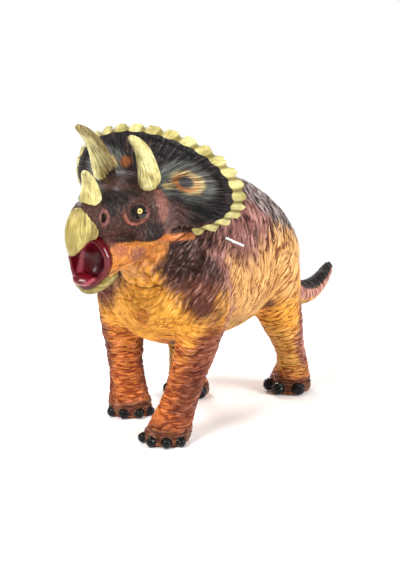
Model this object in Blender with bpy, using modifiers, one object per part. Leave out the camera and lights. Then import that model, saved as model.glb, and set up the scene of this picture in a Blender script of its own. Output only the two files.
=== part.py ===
# Toy horned dinosaur: a soft vinyl figure in a walking pose with its mouth open.
# Metres, +Z up. The head looks along -Y and the animal's left side is +X.
# The castings plug into each other: each limb, the tail and the head end in a neck
# and a snap flange, and the piece that carries them has a socket of the same form.
# The soles stand on Z = 0 and the middle of the figure's box lies over the origin.

import math

import bmesh
import bpy
from mathutils import Matrix, Vector

# Fit between castings
SEAT_GAP = 0.0003
PLUG_NECK_RADIUS = 0.0050
PLUG_NECK_LENGTH = 0.0050
PLUG_FLANGE_RADIUS = 0.0068
PLUG_FLANGE_THICKNESS = 0.0022
PLUG_SIDES = 12
LARGEST_GAP_GROWTH_SHARE = 2.0

# Torso: length, greatest half width, and the heights of back and belly
TORSO_LENGTH = 0.120
TORSO_HALF_WIDTH = 0.0355
BACK_HEIGHT = 0.1195
BELLY_HEIGHT = 0.0358
TORSO_SIDES = 12

# Each row: along the torso, half width, then top, bottom and widest height between
# belly and back
TORSO_SHARES = (
    (0.000, 0.28, 0.38, 0.18, 0.27),
    (0.020, 0.50, 0.50, 0.12, 0.29),
    (0.085, 0.76, 0.72, 0.05, 0.33),
    (0.170, 0.90, 0.89, 0.02, 0.35),
    (0.290, 0.98, 0.98, 0.00, 0.38),
    (0.430, 1.00, 1.00, 0.00, 0.40),
    (0.570, 1.00, 0.98, 0.01, 0.41),
    (0.710, 0.97, 0.90, 0.04, 0.43),
    (0.840, 0.85, 0.78, 0.10, 0.42),
    (0.940, 0.62, 0.62, 0.19, 0.40),
    (1.000, 0.32, 0.47, 0.27, 0.38),
)

# Legs: radii, and the point where a leg turns into the torso in shares of its sizes
FORE_LEG_RADIUS = 0.0118
HIND_LEG_RADIUS = 0.0135
FORE_FOOT_RADIUS = 0.0122
HIND_FOOT_RADIUS = 0.0125
FORE_ROOT_SHARES = (0.71, 0.150, 0.36)
HIND_ROOT_SHARES = (0.70, 0.667, 0.36)
LEG_SEAT_SHARE = 0.6
LEG_PLUG_INSET_SHARE = 0.4
ANKLE_SHARE = 0.12
LEG_SIDES = 8

# Where each foot stands, in shares of the torso's half width and length, and the way
# that it points, in degrees towards the left
LEG_STANCE_SHARES = {
    "left_foreleg": (0.445, -0.029, 12.0),
    "right_foreleg": (-0.645, 0.196, 36.0),
    "left_hind_leg": (0.680, 0.830, 2.0),
    "right_hind_leg": (-0.454, 0.550, 12.0),
}

# Each row: height between sole and root, travel from foot to root sideways and
# lengthwise, then the half width and the front and back radii of the section
FORE_LEG_SHARES = (
    (0.00, 0.00, 0.00, 0.56, 0.58, 0.50),
    (0.00, 0.00, 0.00, 1.02, 1.06, 0.92),
    (0.10, 0.05, 0.04, 1.00, 1.00, 0.88),
    (0.22, 0.20, 0.26, 0.80, 0.78, 0.78),
    (0.36, 0.38, 0.42, 0.78, 0.78, 0.80),
    (0.52, 0.62, 0.54, 0.84, 0.84, 0.86),
    (0.70, 0.88, 0.70, 1.00, 0.98, 1.02),
    (0.92, 1.00, 0.92, 1.04, 1.02, 1.16),
    (1.14, 0.92, 1.00, 0.94, 0.96, 1.10),
    (1.32, 0.74, 1.00, 0.52, 0.60, 0.66),
)
HIND_LEG_SHARES = (
    (0.00, 0.00, 0.00, 0.56, 0.58, 0.50),
    (0.00, 0.00, 0.00, 1.02, 1.06, 0.94),
    (0.10, 0.04, -0.02, 0.98, 1.00, 0.90),
    (0.20, 0.20, -0.14, 0.62, 0.60, 0.58),
    (0.32, 0.40, 0.02, 0.60, 0.58, 0.60),
    (0.48, 0.70, 0.36, 0.74, 0.84, 0.78),
    (0.66, 0.92, 0.72, 0.94, 1.14, 1.06),
    (0.90, 1.00, 0.98, 1.02, 1.34, 1.26),
    (1.16, 0.92, 1.00, 0.94, 1.26, 1.18),
    (1.38, 0.72, 1.00, 0.52, 0.76, 0.70),
)

# Toenails: half width, depth and height in shares of the foot's radius, how far out
# and how high they sit, and their bearings round each foot
FORE_NAIL_SHARES = (0.20, 0.18, 0.20)
HIND_NAIL_SHARES = (0.29, 0.22, 0.26)
NAIL_REACH_SHARE = 0.92
NAIL_LIFT_SHARE = 1.08
FORE_NAIL_BEARINGS = (-60.0, -19.0, 21.0, 58.0)
HIND_NAIL_BEARINGS = (-50.0, -6.0, 50.0)
NAIL_SEGMENTS = 8
NAIL_RINGS = 5

# Tail: root, sag and tip, with the radius at its root
TAIL_LENGTH = 0.084
TAIL_ROOT_HEIGHT = 0.066
TAIL_TIP_HEIGHT = 0.0500
TAIL_SAG = 0.0185
TAIL_ROOT_RADIUS = 0.0135
TAIL_ROOT_SHARE = 0.900
TAIL_SEAT_SHARE = 0.2
TAIL_SIDES = 8
TAIL_SHARES = (
    (0.00, 0.00, 1.06),
    (0.10, 0.26, 1.00),
    (0.28, 0.76, 0.80),
    (0.48, 1.02, 0.62),
    (0.68, 0.98, 0.50),
    (0.86, 0.62, 0.39),
    (0.97, 0.20, 0.30),
    (1.00, 0.06, 0.18),
)

# Head: how far it stands before the torso, its height, and its turn and tip in degrees
HEAD_REACH = 0.0035
HEAD_HEIGHT = 0.1077
HEAD_TURN = 2.0
HEAD_TIP = 7.0
SKULL_LENGTH = 0.058
SKULL_HALF_WIDTH = 0.0215
SKULL_RISE = 0.0165
SKULL_DROP = 0.0225
SKULL_BACK_SHARE = 0.207
SKULL_SIDES = 12
SKULL_SHARES = (
    (0.00, 0.76, 0.76, 0.86),
    (0.12, 0.94, 0.90, 0.94),
    (0.28, 0.97, 0.96, 0.80),
    (0.44, 0.80, 0.92, 0.62),
    (0.60, 0.58, 0.74, 0.52),
    (0.76, 0.42, 0.54, 0.45),
    (0.91, 0.34, 0.44, 0.38),
    (1.00, 0.20, 0.26, 0.22),
)

# Frill: a dished shield with a scalloped, raised rim
FRILL_HALF_WIDTH = 0.0435
FRILL_RISE = 0.0250
FRILL_DROP = 0.0195
FRILL_SWEEP = 0.0070
FRILL_THICKNESS = 0.0036
FRILL_BULGE = 0.0080
FRILL_PLACE_SHARES = (0.0, -0.172, 0.485)
FRILL_KNOBS = 30
FRILL_STEPS_PER_KNOB = 4
KNOB_RISE = 0.0032
KNOB_FULLNESS = 0.6
BAND_PROUD = 0.0009

# Each row: radius, and the depth from the middle surface in shares of the thickness;
# the third value is the share of the knob's rise, the fourth that of the band's
FRILL_PROFILE_SHARES = (
    (0.24, 0.50, 0.0, 0.0),
    (0.90, 0.42, 0.0, 0.0),
    (1.00, 0.00, 1.0, 0.0),
    (0.97, -0.46, 0.3, 1.0),
    (0.89, -0.50, 0.0, 1.0),
    (0.87, -0.50, 0.0, 0.0),
    (0.24, -0.50, 0.0, 0.0),
)

# Brow horns and nose horn: place on the skull, length, radius at the base, and how far
# each leans forward and to its own side, in degrees
BROW_HORN_LENGTH = 0.0345
BROW_HORN_RADIUS = 0.0064
BROW_HORN_LEAN = 43.5
BROW_HORN_SPREAD = 3.0
BROW_HORN_PLACE_SHARES = (0.549, 0.147, 0.727)
NOSE_HORN_LENGTH = 0.0168
NOSE_HORN_RADIUS = 0.0060
NOSE_HORN_LEAN = 25.0
NOSE_HORN_PLACE_SHARES = (0.0, 0.626, 0.333)
HORN_SIDES = 6

# Each row: along the horn, bow towards the back, radius
HORN_SHARES = (
    (0.00, 0.00, 1.08),
    (0.16, 0.04, 0.98),
    (0.38, 0.10, 0.78),
    (0.62, 0.11, 0.60),
    (0.84, 0.05, 0.44),
    (1.00, -0.02, 0.24),
)

# Upper beak: a hooked cap on the muzzle. Each row: forward, down, half width, radii
# above and below, and the section's tilt in degrees
UPPER_BEAK_LENGTH = 0.0092
UPPER_BEAK_FALL = 0.0148
UPPER_BEAK_HALF_WIDTH = 0.0080
UPPER_BEAK_HALF_HEIGHT = 0.0088
UPPER_BEAK_PLACE_SHARES = (0.0, 0.655, -0.061)
UPPER_BEAK_SHARES = (
    (0.00, 0.00, 1.04, 1.24, 1.48, 40.0),
    (0.50, 0.18, 1.00, 1.06, 1.22, 52.0),
    (0.83, 0.44, 0.82, 0.68, 0.92, 68.0),
    (0.95, 0.71, 0.56, 0.44, 0.64, 82.0),
    (1.00, 0.91, 0.30, 0.24, 0.36, 90.0),
    (1.00, 1.00, 0.13, 0.12, 0.16, 90.0),
)
UPPER_BEAK_TAPER_SHARES = (0.50, 0.15)
BEAK_SIDES = 8

# Jaw: the part of the head that surrounds the mouth, in rows of the same kind
JAW_LENGTH = 0.0300
JAW_FALL = 0.0050
JAW_HALF_WIDTH = 0.0135
JAW_HALF_HEIGHT = 0.0100
JAW_PLACE_SHARES = (0.0, 0.034, -0.970)
JAW_TAPER_SHARES = (0.0, 0.40)
JAW_SHARES = (
    (0.00, 0.00, 1.20, 1.10, 0.95, 6.0),
    (0.35, 0.25, 1.14, 1.15, 1.05, 6.0),
    (0.70, 0.65, 1.02, 1.24, 1.15, 4.0),
    (0.94, 0.95, 0.93, 1.27, 1.22, 2.0),
    (1.00, 1.00, 0.82, 1.08, 1.05, 2.0),
)

# Lower beak: a crescent round the lower half of the mouth, in rows of the same kind
LOWER_BEAK_LENGTH = 0.0115
LOWER_BEAK_FALL = 0.0060
LOWER_BEAK_HALF_WIDTH = 0.0126
LOWER_BEAK_HALF_HEIGHT = 0.0105
LOWER_BEAK_PLACE_SHARES = (0.0, 0.405, -1.485)
LOWER_BEAK_TAPER_SHARES = (0.0, 0.45)
LOWER_BEAK_SHARES = (
    (0.00, 0.00, 0.94, 0.10, 0.84, 0.0),
    (0.30, 0.15, 0.98, 0.12, 0.96, 0.0),
    (0.60, 0.48, 0.92, 0.12, 0.82, 0.0),
    (0.88, 0.82, 0.76, 0.12, 0.62, -6.0),
    (1.00, 1.00, 0.46, 0.08, 0.38, -10.0),
)

# Mouth: a red cup with a tongue. Each row: forward from the centre, size of the ring
MOUTH_HALF_WIDTH = 0.0112
MOUTH_RISE = 0.0132
MOUTH_DROP = 0.0120
MOUTH_DEPTH = 0.0090
MOUTH_WALL = 0.0018
MOUTH_TILT = 6.0
MOUTH_TAPER_SHARES = (0.0, 0.45)
MOUTH_PLACE_SHARES = (0.0, 0.578, -1.260)
MOUTH_SIDES = 8
MOUTH_SHARES = (
    (-1.00, 0.30),
    (-0.82, 0.66),
    (-0.45, 0.92),
    (0.00, 1.00),
    (0.25, 0.97),
)
MOUTH_OPENING_SHARES = ((1.00, 0.86),)
HOLLOW_SHARES = (
    (-0.78, 0.24),
    (-0.55, 0.66),
    (-0.10, 0.92),
    (0.40, 1.02),
    (0.60, 1.02),
)
TONGUE_SHARES = (0.46, 0.56, 0.20)
TONGUE_PLACE_SHARES = (0.0, 0.10, 0.50)
TONGUE_SEGMENTS = 10
TONGUE_RINGS = 6

# Eyes, their lids, the cheek horns and the nostrils: place on the skull and size
EYE_RADIUS = 0.0034
EYE_PLACE_SHARES = (0.632, 0.314, 0.133)
EYE_SEGMENTS = 12
EYE_RINGS = 6
LID_SHARES = (0.66, 1.46, 1.32)
EYE_PROUD = 0.0012
CHEEK_SIZE_SHARES = (0.26, 0.20, 0.40)
CHEEK_PLACE_SHARES = (0.580, 0.130, -0.480)
NOSTRIL_SIZE_SHARES = (0.075, 0.028, 0.130)
NOSTRIL_PLACE_SHARES = (0.345, 0.645, 0.048)
TRIM_SEGMENTS = 12
TRIM_RINGS = 6

# Neck of the head casting, from inside the skull to its seat in the torso
NECK_LENGTH = 0.0260
NECK_FALL = 0.0100
NECK_HALF_WIDTH = 0.0236
NECK_RISE = 0.0175
NECK_DROP = 0.0300
NECK_DEPTH_BELOW_HEAD = 0.0097
NECK_SEAT_SHARE = 0.133
NECK_SIDES = 12
NECK_SHARES = (
    (0.00, 0.00, 0.54, 0.62, 0.58),
    (0.25, 0.28, 0.71, 0.76, 0.74),
    (0.50, 0.58, 0.83, 0.86, 0.88),
    (0.75, 0.84, 0.95, 0.96, 0.98),
    (0.94, 0.98, 1.00, 1.00, 1.00),
    (1.00, 1.00, 0.94, 0.94, 0.94),
)
HEAD_PLUG_NECK_RADIUS = 0.0120
HEAD_PLUG_FLANGE_RADIUS = 0.0145

# The shop tag's nylon pin in the left shoulder: a bar across the end of a stem
TAG_BAR_LENGTH = 0.0095
TAG_BAR_RADIUS = 0.00055
TAG_STEM_LENGTH = 0.0036
TAG_STEM_RADIUS = 0.00045
TAG_PLACE_SHARES = (0.275, 0.624)
TAG_BAR_WAY = Vector((0.62, 0.60, -0.41)).normalized()
TAG_STEM_WAY = Vector((0.80, -0.50, 0.33)).normalized()
TAG_SIDES = 8

# Sections that keep their full width to top and bottom
EVEN_SHARES = (0.0, 0.0)

CREASE_ANGLE = 40.0
MERGE_DISTANCE = 0.00001
LEFT = Vector((1.0, 0.0, 0.0))
BACKWARD = Vector((0.0, 1.0, 0.0))
UPWARD = Vector((0.0, 0.0, 1.0))


def clear_scene():
    for item in list(bpy.data.objects):
        bpy.data.objects.remove(item, do_unlink=True)


def new_collection(name):
    collection = bpy.data.collections.new(name)
    bpy.context.scene.collection.children.link(collection)
    return collection


clear_scene()
PARTS = new_collection("toy_dinosaur")
CUTTERS = new_collection("cutters")

# The forms that each casting is joined from, which also cut its seats in its neighbours
FORMS = {}


def material(name, colour, roughness):
    made = bpy.data.materials.new(name)
    made.use_nodes = True
    shader = made.node_tree.nodes["Principled BSDF"]
    shader.inputs["Base Color"].default_value = (*colour, 1.0)
    shader.inputs["Roughness"].default_value = roughness
    shader.inputs["Metallic"].default_value = 0.0
    made.diffuse_color = (*colour, 1.0)
    return made


ORANGE_SKIN = material("orange_vinyl", (0.55, 0.22, 0.07), 0.45)
MAUVE_SKIN = material("mauve_vinyl", (0.30, 0.13, 0.09), 0.45)
HORN_YELLOW = material("horn_yellow_vinyl", (0.62, 0.55, 0.25), 0.45)
MOUTH_RED = material("mouth_red_vinyl", (0.25, 0.01, 0.02), 0.20)
EYE_BLACK = material("eye_black", (0.01, 0.01, 0.01), 0.10)
TAG_WHITE = material("tag_white_nylon", (0.90, 0.90, 0.90), 0.35)


def place_mesh(name, mesh, collection, finish, place):
    mesh.shade_smooth()
    piece = bpy.data.objects.new(name, mesh)
    piece.matrix_world = place
    if finish:
        mesh.materials.append(finish)
    if collection is CUTTERS:
        piece.hide_render = True
        piece.display_type = "WIRE"
    collection.objects.link(piece)
    return piece


def section(centre, tilt, half_width, rise, drop, taper_shares, count):
    """One ring: an egg of unlike upper and lower radii, its top tilted forward.

    The taper shares draw its sides in towards its highest and its lowest point.
    """
    top, bottom = taper_shares
    slope = math.radians(tilt)
    up = Vector((0.0, -math.sin(slope), math.cos(slope)))
    ring = []
    for step in range(count):
        angle = math.tau * step / count
        high = math.cos(angle)
        lift = rise if high > 0.0 else drop
        across = half_width * math.sin(angle) * (1.0 - top * max(high, 0.0) - bottom * max(-high, 0.0))
        ring.append(centre + LEFT * across + up * (lift * high))
    return ring


def skin(rings):
    """A closed mesh through rings of equal count, with flat ends."""
    count = len(rings[0])
    points = [point for ring in rings for point in ring]
    faces = []
    for row in range(len(rings) - 1):
        for step in range(count):
            low = row * count
            after = (step + 1) % count
            faces.append((low + step, low + after, low + count + after, low + count + step))
    faces.append(tuple(range(count)))
    faces.append(tuple(range(len(points) - count, len(points))))
    mesh = bpy.data.meshes.new("loft")
    mesh.from_pydata(points, [], faces)
    return outward(mesh)


def outward(mesh):
    """Turn all the faces of a closed mesh to point out of it."""
    shape = bmesh.new()
    shape.from_mesh(mesh)
    bmesh.ops.recalc_face_normals(shape, faces=shape.faces)
    if shape.calc_volume(signed=True) < 0.0:
        bmesh.ops.reverse_faces(shape, faces=shape.faces)
    shape.to_mesh(mesh)
    shape.free()
    return mesh


def loft(name, sections, count, collection, finish=None, place=Matrix(), taper_shares=EVEN_SHARES):
    """A soft form: a coarse cage through the sections, subdivided once."""
    rings = [section(*row, taper_shares, count) for row in sections]
    piece = place_mesh(name, skin(rings), collection, finish, place)
    smooth = piece.modifiers.new("smooth", "SUBSURF")
    smooth.levels = 1
    smooth.render_levels = 1
    piece.modifiers.new("facets", "TRIANGULATE")
    return piece


def boolean(piece, other, operation):
    cut = piece.modifiers.new(operation.lower(), "BOOLEAN")
    cut.operation = operation
    cut.solver = "MANIFOLD"
    cut.object = other


def casting(name, forms, finish):
    """One piece joined from closed forms."""
    first = forms[0]
    piece = place_mesh(name, settled_mesh(first), PARTS, finish, first.matrix_world.copy())
    for form in forms[1:]:
        boolean(piece, form, "UNION")
    FORMS[name] = forms
    return piece


def settled_mesh(piece):
    """The mesh that a piece's modifiers give, as its own data."""
    bpy.context.view_layer.update()
    graph = bpy.context.evaluated_depsgraph_get()
    return bpy.data.meshes.new_from_object(piece.evaluated_get(graph))


def settle(piece):
    """Make a piece's modifiers final, without the crumbs that a cut may leave."""
    mesh = settled_mesh(piece)
    piece.modifiers.clear()
    piece.data = mesh
    keep_largest_body(mesh)
    mesh.shade_smooth()
    mesh.set_sharp_from_angle(angle=math.radians(CREASE_ANGLE))


def linked_verts(start):
    """All the vertices that edges join to a first one."""
    body = {start}
    front = [start]
    while front:
        vert = front.pop()
        for edge in vert.link_edges:
            other = edge.other_vert(vert)
            if other not in body:
                body.add(other)
                front.append(other)
    return body


def keep_largest_body(mesh):
    shape = bmesh.new()
    shape.from_mesh(mesh)
    left = set(shape.verts)
    bodies = []
    while left:
        body = linked_verts(next(iter(left)))
        left -= body
        bodies.append(body)
    largest = max(bodies, key=len)
    crumbs = [vert for vert in shape.verts if vert not in largest]
    bmesh.ops.delete(shape, geom=crumbs, context="VERTS")
    shape.to_mesh(mesh)
    shape.free()


def grown_cutter(piece):
    """A copy of a piece, larger by the seat gap all round."""
    mesh = settled_mesh(piece)
    shape = bmesh.new()
    shape.from_mesh(mesh)
    shape.normal_update()
    moves = []
    for vert in shape.verts:
        growth = min(vert.calc_shell_factor(), LARGEST_GAP_GROWTH_SHARE)
        moves.append(vert.normal * (SEAT_GAP * growth))
    for vert, move in zip(shape.verts, moves):
        vert.co += move
    bmesh.ops.triangulate(shape, faces=shape.faces)
    shape.to_mesh(mesh)
    shape.free()
    return place_mesh(piece.name + "_seat", mesh, CUTTERS, None, piece.matrix_world.copy())


def ball(name, centre, size, segments, rings, collection, finish=None, place=Matrix()):
    mesh = bpy.data.meshes.new(name)
    shape = bmesh.new()
    bmesh.ops.create_uvsphere(shape, u_segments=segments, v_segments=rings, radius=1.0)
    shape.to_mesh(mesh)
    shape.free()
    mesh.transform(Matrix.Diagonal((*size, 1.0)))
    return place_mesh(name, mesh, collection, finish, place @ Matrix.Translation(centre))


def rod(name, radius, length, sides, collection, finish, place):
    """A round rod along Z, its middle at the place given."""
    mesh = bpy.data.meshes.new(name)
    shape = bmesh.new()
    bmesh.ops.create_cone(shape, cap_ends=True, segments=sides, radius1=radius,
                          radius2=radius, depth=length)
    shape.to_mesh(mesh)
    shape.free()
    return place_mesh(name, mesh, collection, finish, place)


def towards(direction):
    return UPWARD.rotation_difference(direction).to_matrix().to_4x4()


def snap_plug(name, seat, direction, inset, neck_radius, flange_radius):
    """Neck and flange that stand out of a casting at a seat and point into its socket."""
    reach = PLUG_NECK_LENGTH + inset
    outline = (
        (0.0, reach + PLUG_FLANGE_THICKNESS),
        (flange_radius, reach + PLUG_FLANGE_THICKNESS),
        (flange_radius, reach),
        (neck_radius, reach),
        (neck_radius, -inset),
        (0.0, -inset),
    )
    mesh = bpy.data.meshes.new(name)
    points = [(radius, 0.0, height) for radius, height in outline]
    edges = [(step, step + 1) for step in range(len(points) - 1)]
    mesh.from_pydata(points, edges, [])
    place = Matrix.Translation(seat) @ towards(direction)
    plug = place_mesh(name, mesh, CUTTERS, None, place)
    turn = plug.modifiers.new("turn", "SCREW")
    turn.steps = PLUG_SIDES
    turn.render_steps = PLUG_SIDES
    turn.use_merge_vertices = True
    turn.merge_threshold = MERGE_DISTANCE
    plug.data = outward(settled_mesh(plug))
    plug.modifiers.clear()
    return plug


def along_torso(share):
    return TORSO_LENGTH * (share - 1 / 2)


def torso_height(share):
    return BELLY_HEIGHT + (BACK_HEIGHT - BELLY_HEIGHT) * share


def build_torso():
    sections = []
    for along, width, top, bottom, widest in TORSO_SHARES:
        middle = torso_height(widest)
        centre = Vector((0.0, along_torso(along), middle))
        rise = torso_height(top) - middle
        drop = middle - torso_height(bottom)
        sections.append((centre, 0.0, TORSO_HALF_WIDTH * width, rise, drop))
    return loft("torso", sections, TORSO_SIDES, PARTS, MAUVE_SKIN)


def leg_root(side, root_shares):
    width, along, height = root_shares
    return Vector((side * TORSO_HALF_WIDTH * width, along_torso(along), torso_height(height)))


def build_nails(foot, heading, radius, nail_shares, bearings):
    size = Vector([radius * share for share in nail_shares])
    nails = []
    for bearing in bearings:
        angle = math.radians(heading + bearing)
        way = Vector((math.sin(angle), -math.cos(angle), 0.0))
        centre = foot + way * (radius * NAIL_REACH_SHARE) + UPWARD * (size.z * NAIL_LIFT_SHARE)
        place = Matrix.Translation(centre) @ Matrix.Rotation(angle, 4, "Z")
        nails.append(ball("nail_form", Vector(), size, NAIL_SEGMENTS, NAIL_RINGS, CUTTERS, None, place))
    return nails


def build_leg(name, root, leg_shares, leg_radius, foot_radius, nail_shares, bearings):
    across, along, heading = LEG_STANCE_SHARES[name]
    foot = Vector((TORSO_HALF_WIDTH * across, along_torso(along), 0.0))
    sections = []
    for height, side, travel, width, front, back in leg_shares:
        radius = foot_radius if height <= ANKLE_SHARE else leg_radius
        centre = Vector((
            foot.x + (root.x - foot.x) * side,
            foot.y + (root.y - foot.y) * travel,
            root.z * height,
        ))
        sections.append((centre, 90.0, radius * width, radius * front, radius * back))
    limb = loft(name + "_form", sections, LEG_SIDES, CUTTERS)
    nails = build_nails(foot, heading, foot_radius, nail_shares, bearings)
    inward = -LEFT if root.x > 0.0 else LEFT
    seat = root + inward * (leg_radius * LEG_SEAT_SHARE)
    plug = snap_plug(name + "_plug", seat, inward, leg_radius * LEG_PLUG_INSET_SHARE,
                     PLUG_NECK_RADIUS, PLUG_FLANGE_RADIUS)
    leg = casting(name, [limb, plug] + nails, ORANGE_SKIN)
    settle(leg)
    return leg


def build_legs():
    legs = []
    for side_name, side in (("left", 1.0), ("right", -1.0)):
        root = leg_root(side, FORE_ROOT_SHARES)
        legs.append(build_leg(side_name + "_foreleg", root, FORE_LEG_SHARES, FORE_LEG_RADIUS,
                              FORE_FOOT_RADIUS, FORE_NAIL_SHARES, FORE_NAIL_BEARINGS))
    for side_name, side in (("left", 1.0), ("right", -1.0)):
        root = leg_root(side, HIND_ROOT_SHARES)
        legs.append(build_leg(side_name + "_hind_leg", root, HIND_LEG_SHARES, HIND_LEG_RADIUS,
                              HIND_FOOT_RADIUS, HIND_NAIL_SHARES, HIND_NAIL_BEARINGS))
    return legs


def build_tail():
    root = Vector((0.0, along_torso(TAIL_ROOT_SHARE), TAIL_ROOT_HEIGHT))
    fall = TAIL_ROOT_HEIGHT - TAIL_TIP_HEIGHT
    sections = []
    for along, sag, radius in TAIL_SHARES:
        centre = root + BACKWARD * (TAIL_LENGTH * along) - UPWARD * (fall * along + TAIL_SAG * sag)
        size = TAIL_ROOT_RADIUS * radius
        sections.append((centre, 0.0, size, size, size))
    whip = loft("tail_form", sections, TAIL_SIDES, CUTTERS)
    inset = TAIL_ROOT_RADIUS * TAIL_SEAT_SHARE
    plug = snap_plug("tail_plug", root + BACKWARD * inset, -BACKWARD, inset,
                     PLUG_NECK_RADIUS, PLUG_FLANGE_RADIUS)
    tail = casting("tail", [whip, plug], MAUVE_SKIN)
    settle(tail)
    return tail


def head_centre():
    return Vector((0.0, along_torso(0.0) - HEAD_REACH, HEAD_HEIGHT))


def head_place():
    turn = Matrix.Rotation(math.radians(HEAD_TURN), 4, "Z")
    tip = Matrix.Rotation(math.radians(HEAD_TIP), 4, "Y")
    return Matrix.Translation(head_centre()) @ turn @ tip


def on_skull(shares, side=1.0):
    """A place in the head from shares of the skull's half width, length and rise."""
    across, forward, up = shares
    return Vector((SKULL_HALF_WIDTH * across * side, -SKULL_LENGTH * forward, SKULL_RISE * up))


def skull_size(shares):
    across, forward, up = shares
    return Vector((SKULL_HALF_WIDTH * across, SKULL_LENGTH * forward, SKULL_RISE * up))


def frill_mesh():
    middle = on_skull(FRILL_PLACE_SHARES)
    columns = FRILL_KNOBS * FRILL_STEPS_PER_KNOB
    rings = []
    for radius, depth, knob_share, band_share in FRILL_PROFILE_SHARES:
        ring = []
        for step in range(columns):
            angle = math.tau * step / columns
            wave = abs(math.cos(math.pi * step / FRILL_STEPS_PER_KNOB)) ** KNOB_FULLNESS
            lobe = KNOB_RISE * knob_share * wave
            height = FRILL_RISE if math.cos(angle) > 0.0 else FRILL_DROP
            across = (FRILL_HALF_WIDTH * radius + lobe) * math.sin(angle)
            up = (height * radius + lobe) * math.cos(angle)
            back = FRILL_SWEEP * (across / FRILL_HALF_WIDTH) ** 2 + FRILL_THICKNESS * depth
            if depth < 0.0:
                back -= FRILL_BULGE * (1.0 - min(radius, 1.0) ** 2) + BAND_PROUD * band_share
            ring.append(middle + LEFT * across + BACKWARD * back + UPWARD * up)
        rings.append(ring)
    return skin(rings)


def horn_sections(base, length, radius, lean, spread):
    """Rings along a horn that leans forward and bows gently back on its way."""
    forward = math.radians(lean)
    aside = math.radians(spread)
    axis = Vector((math.sin(aside), -math.sin(forward), math.cos(forward))).normalized()
    bend = Vector((0.0, math.cos(forward), math.sin(forward)))
    sections = []
    for along, bow, width in HORN_SHARES:
        centre = base + axis * (length * along) + bend * (length * bow)
        size = radius * width
        sections.append((centre, lean - 90.0, size, size, size))
    return sections


def tilted_sections(place_shares, length, fall, half_width, half_height, shares):
    base = on_skull(place_shares)
    sections = []
    for forward, down, width, above, below, tilt in shares:
        centre = base - BACKWARD * (length * forward) - UPWARD * (fall * down)
        sections.append((centre, tilt, half_width * width, half_height * above, half_height * below))
    return sections


def build_neck():
    front = head_centre() - UPWARD * NECK_DEPTH_BELOW_HEAD
    front.y = along_torso(NECK_SEAT_SHARE) - NECK_LENGTH
    sections = []
    for along, fall, width, rise, drop in NECK_SHARES:
        centre = front + BACKWARD * (NECK_LENGTH * along) - UPWARD * (NECK_FALL * fall)
        sections.append((centre, 0.0, NECK_HALF_WIDTH * width, NECK_RISE * rise, NECK_DROP * drop))
    neck = loft("neck_form", sections, NECK_SIDES, CUTTERS)
    seat = front + BACKWARD * NECK_LENGTH - UPWARD * NECK_FALL
    plug = snap_plug("head_plug", seat, BACKWARD, PLUG_NECK_LENGTH,
                     HEAD_PLUG_NECK_RADIUS, HEAD_PLUG_FLANGE_RADIUS)
    return [neck, plug]


def build_head(place):
    """Skull, frill, jaw and neck as one casting, with lids, cheek horns and nostrils."""
    sections = []
    for along, width, rise, drop in SKULL_SHARES:
        centre = BACKWARD * (SKULL_LENGTH * (SKULL_BACK_SHARE - along))
        sections.append((centre, 0.0, SKULL_HALF_WIDTH * width, SKULL_RISE * rise, SKULL_DROP * drop))
    skull = loft("skull_form", sections, SKULL_SIDES, CUTTERS, None, place)
    rows = tilted_sections(JAW_PLACE_SHARES, JAW_LENGTH, JAW_FALL, JAW_HALF_WIDTH,
                           JAW_HALF_HEIGHT, JAW_SHARES)
    jaw = loft("jaw_form", rows, BEAK_SIDES, CUTTERS, None, place, JAW_TAPER_SHARES)
    frill = place_mesh("frill_form", frill_mesh(), CUTTERS, None, place)
    frill.modifiers.new("facets", "TRIANGULATE")
    forms = [skull, jaw, frill] + build_neck()
    lid_size = Vector([EYE_RADIUS * share for share in LID_SHARES])
    nostrils = []
    for side in (1.0, -1.0):
        forms.append(ball("cheek_form", on_skull(CHEEK_PLACE_SHARES, side), skull_size(CHEEK_SIZE_SHARES),
                          TRIM_SEGMENTS, TRIM_RINGS, CUTTERS, None, place))
        forms.append(ball("lid_form", on_skull(EYE_PLACE_SHARES, side), lid_size,
                          TRIM_SEGMENTS, TRIM_RINGS, CUTTERS, None, place))
        nostrils.append(ball("nostril_form", on_skull(NOSTRIL_PLACE_SHARES, side),
                             skull_size(NOSTRIL_SIZE_SHARES), NAIL_SEGMENTS, NAIL_RINGS,
                             CUTTERS, None, place))
    head = casting("head", forms, MAUVE_SKIN)
    for nostril in nostrils:
        boolean(head, nostril, "DIFFERENCE")
    return head


def build_horns(place):
    horns = []
    for name, side in (("left_brow_horn", 1.0), ("right_brow_horn", -1.0)):
        rows = horn_sections(on_skull(BROW_HORN_PLACE_SHARES, side), BROW_HORN_LENGTH,
                             BROW_HORN_RADIUS, BROW_HORN_LEAN, BROW_HORN_SPREAD * side)
        form = loft(name + "_form", rows, HORN_SIDES, CUTTERS, None, place)
        horns.append(casting(name, [form], HORN_YELLOW))
    rows = horn_sections(on_skull(NOSE_HORN_PLACE_SHARES), NOSE_HORN_LENGTH, NOSE_HORN_RADIUS,
                         NOSE_HORN_LEAN, 0.0)
    form = loft("nose_horn_form", rows, HORN_SIDES, CUTTERS, None, place)
    horns.append(casting("nose_horn", [form], HORN_YELLOW))
    return horns


def build_upper_beak(place):
    rows = tilted_sections(UPPER_BEAK_PLACE_SHARES, UPPER_BEAK_LENGTH, UPPER_BEAK_FALL,
                           UPPER_BEAK_HALF_WIDTH, UPPER_BEAK_HALF_HEIGHT, UPPER_BEAK_SHARES)
    form = loft("upper_beak_form", rows, BEAK_SIDES, CUTTERS, None, place, UPPER_BEAK_TAPER_SHARES)
    return casting("upper_beak", [form], HORN_YELLOW)


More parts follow.
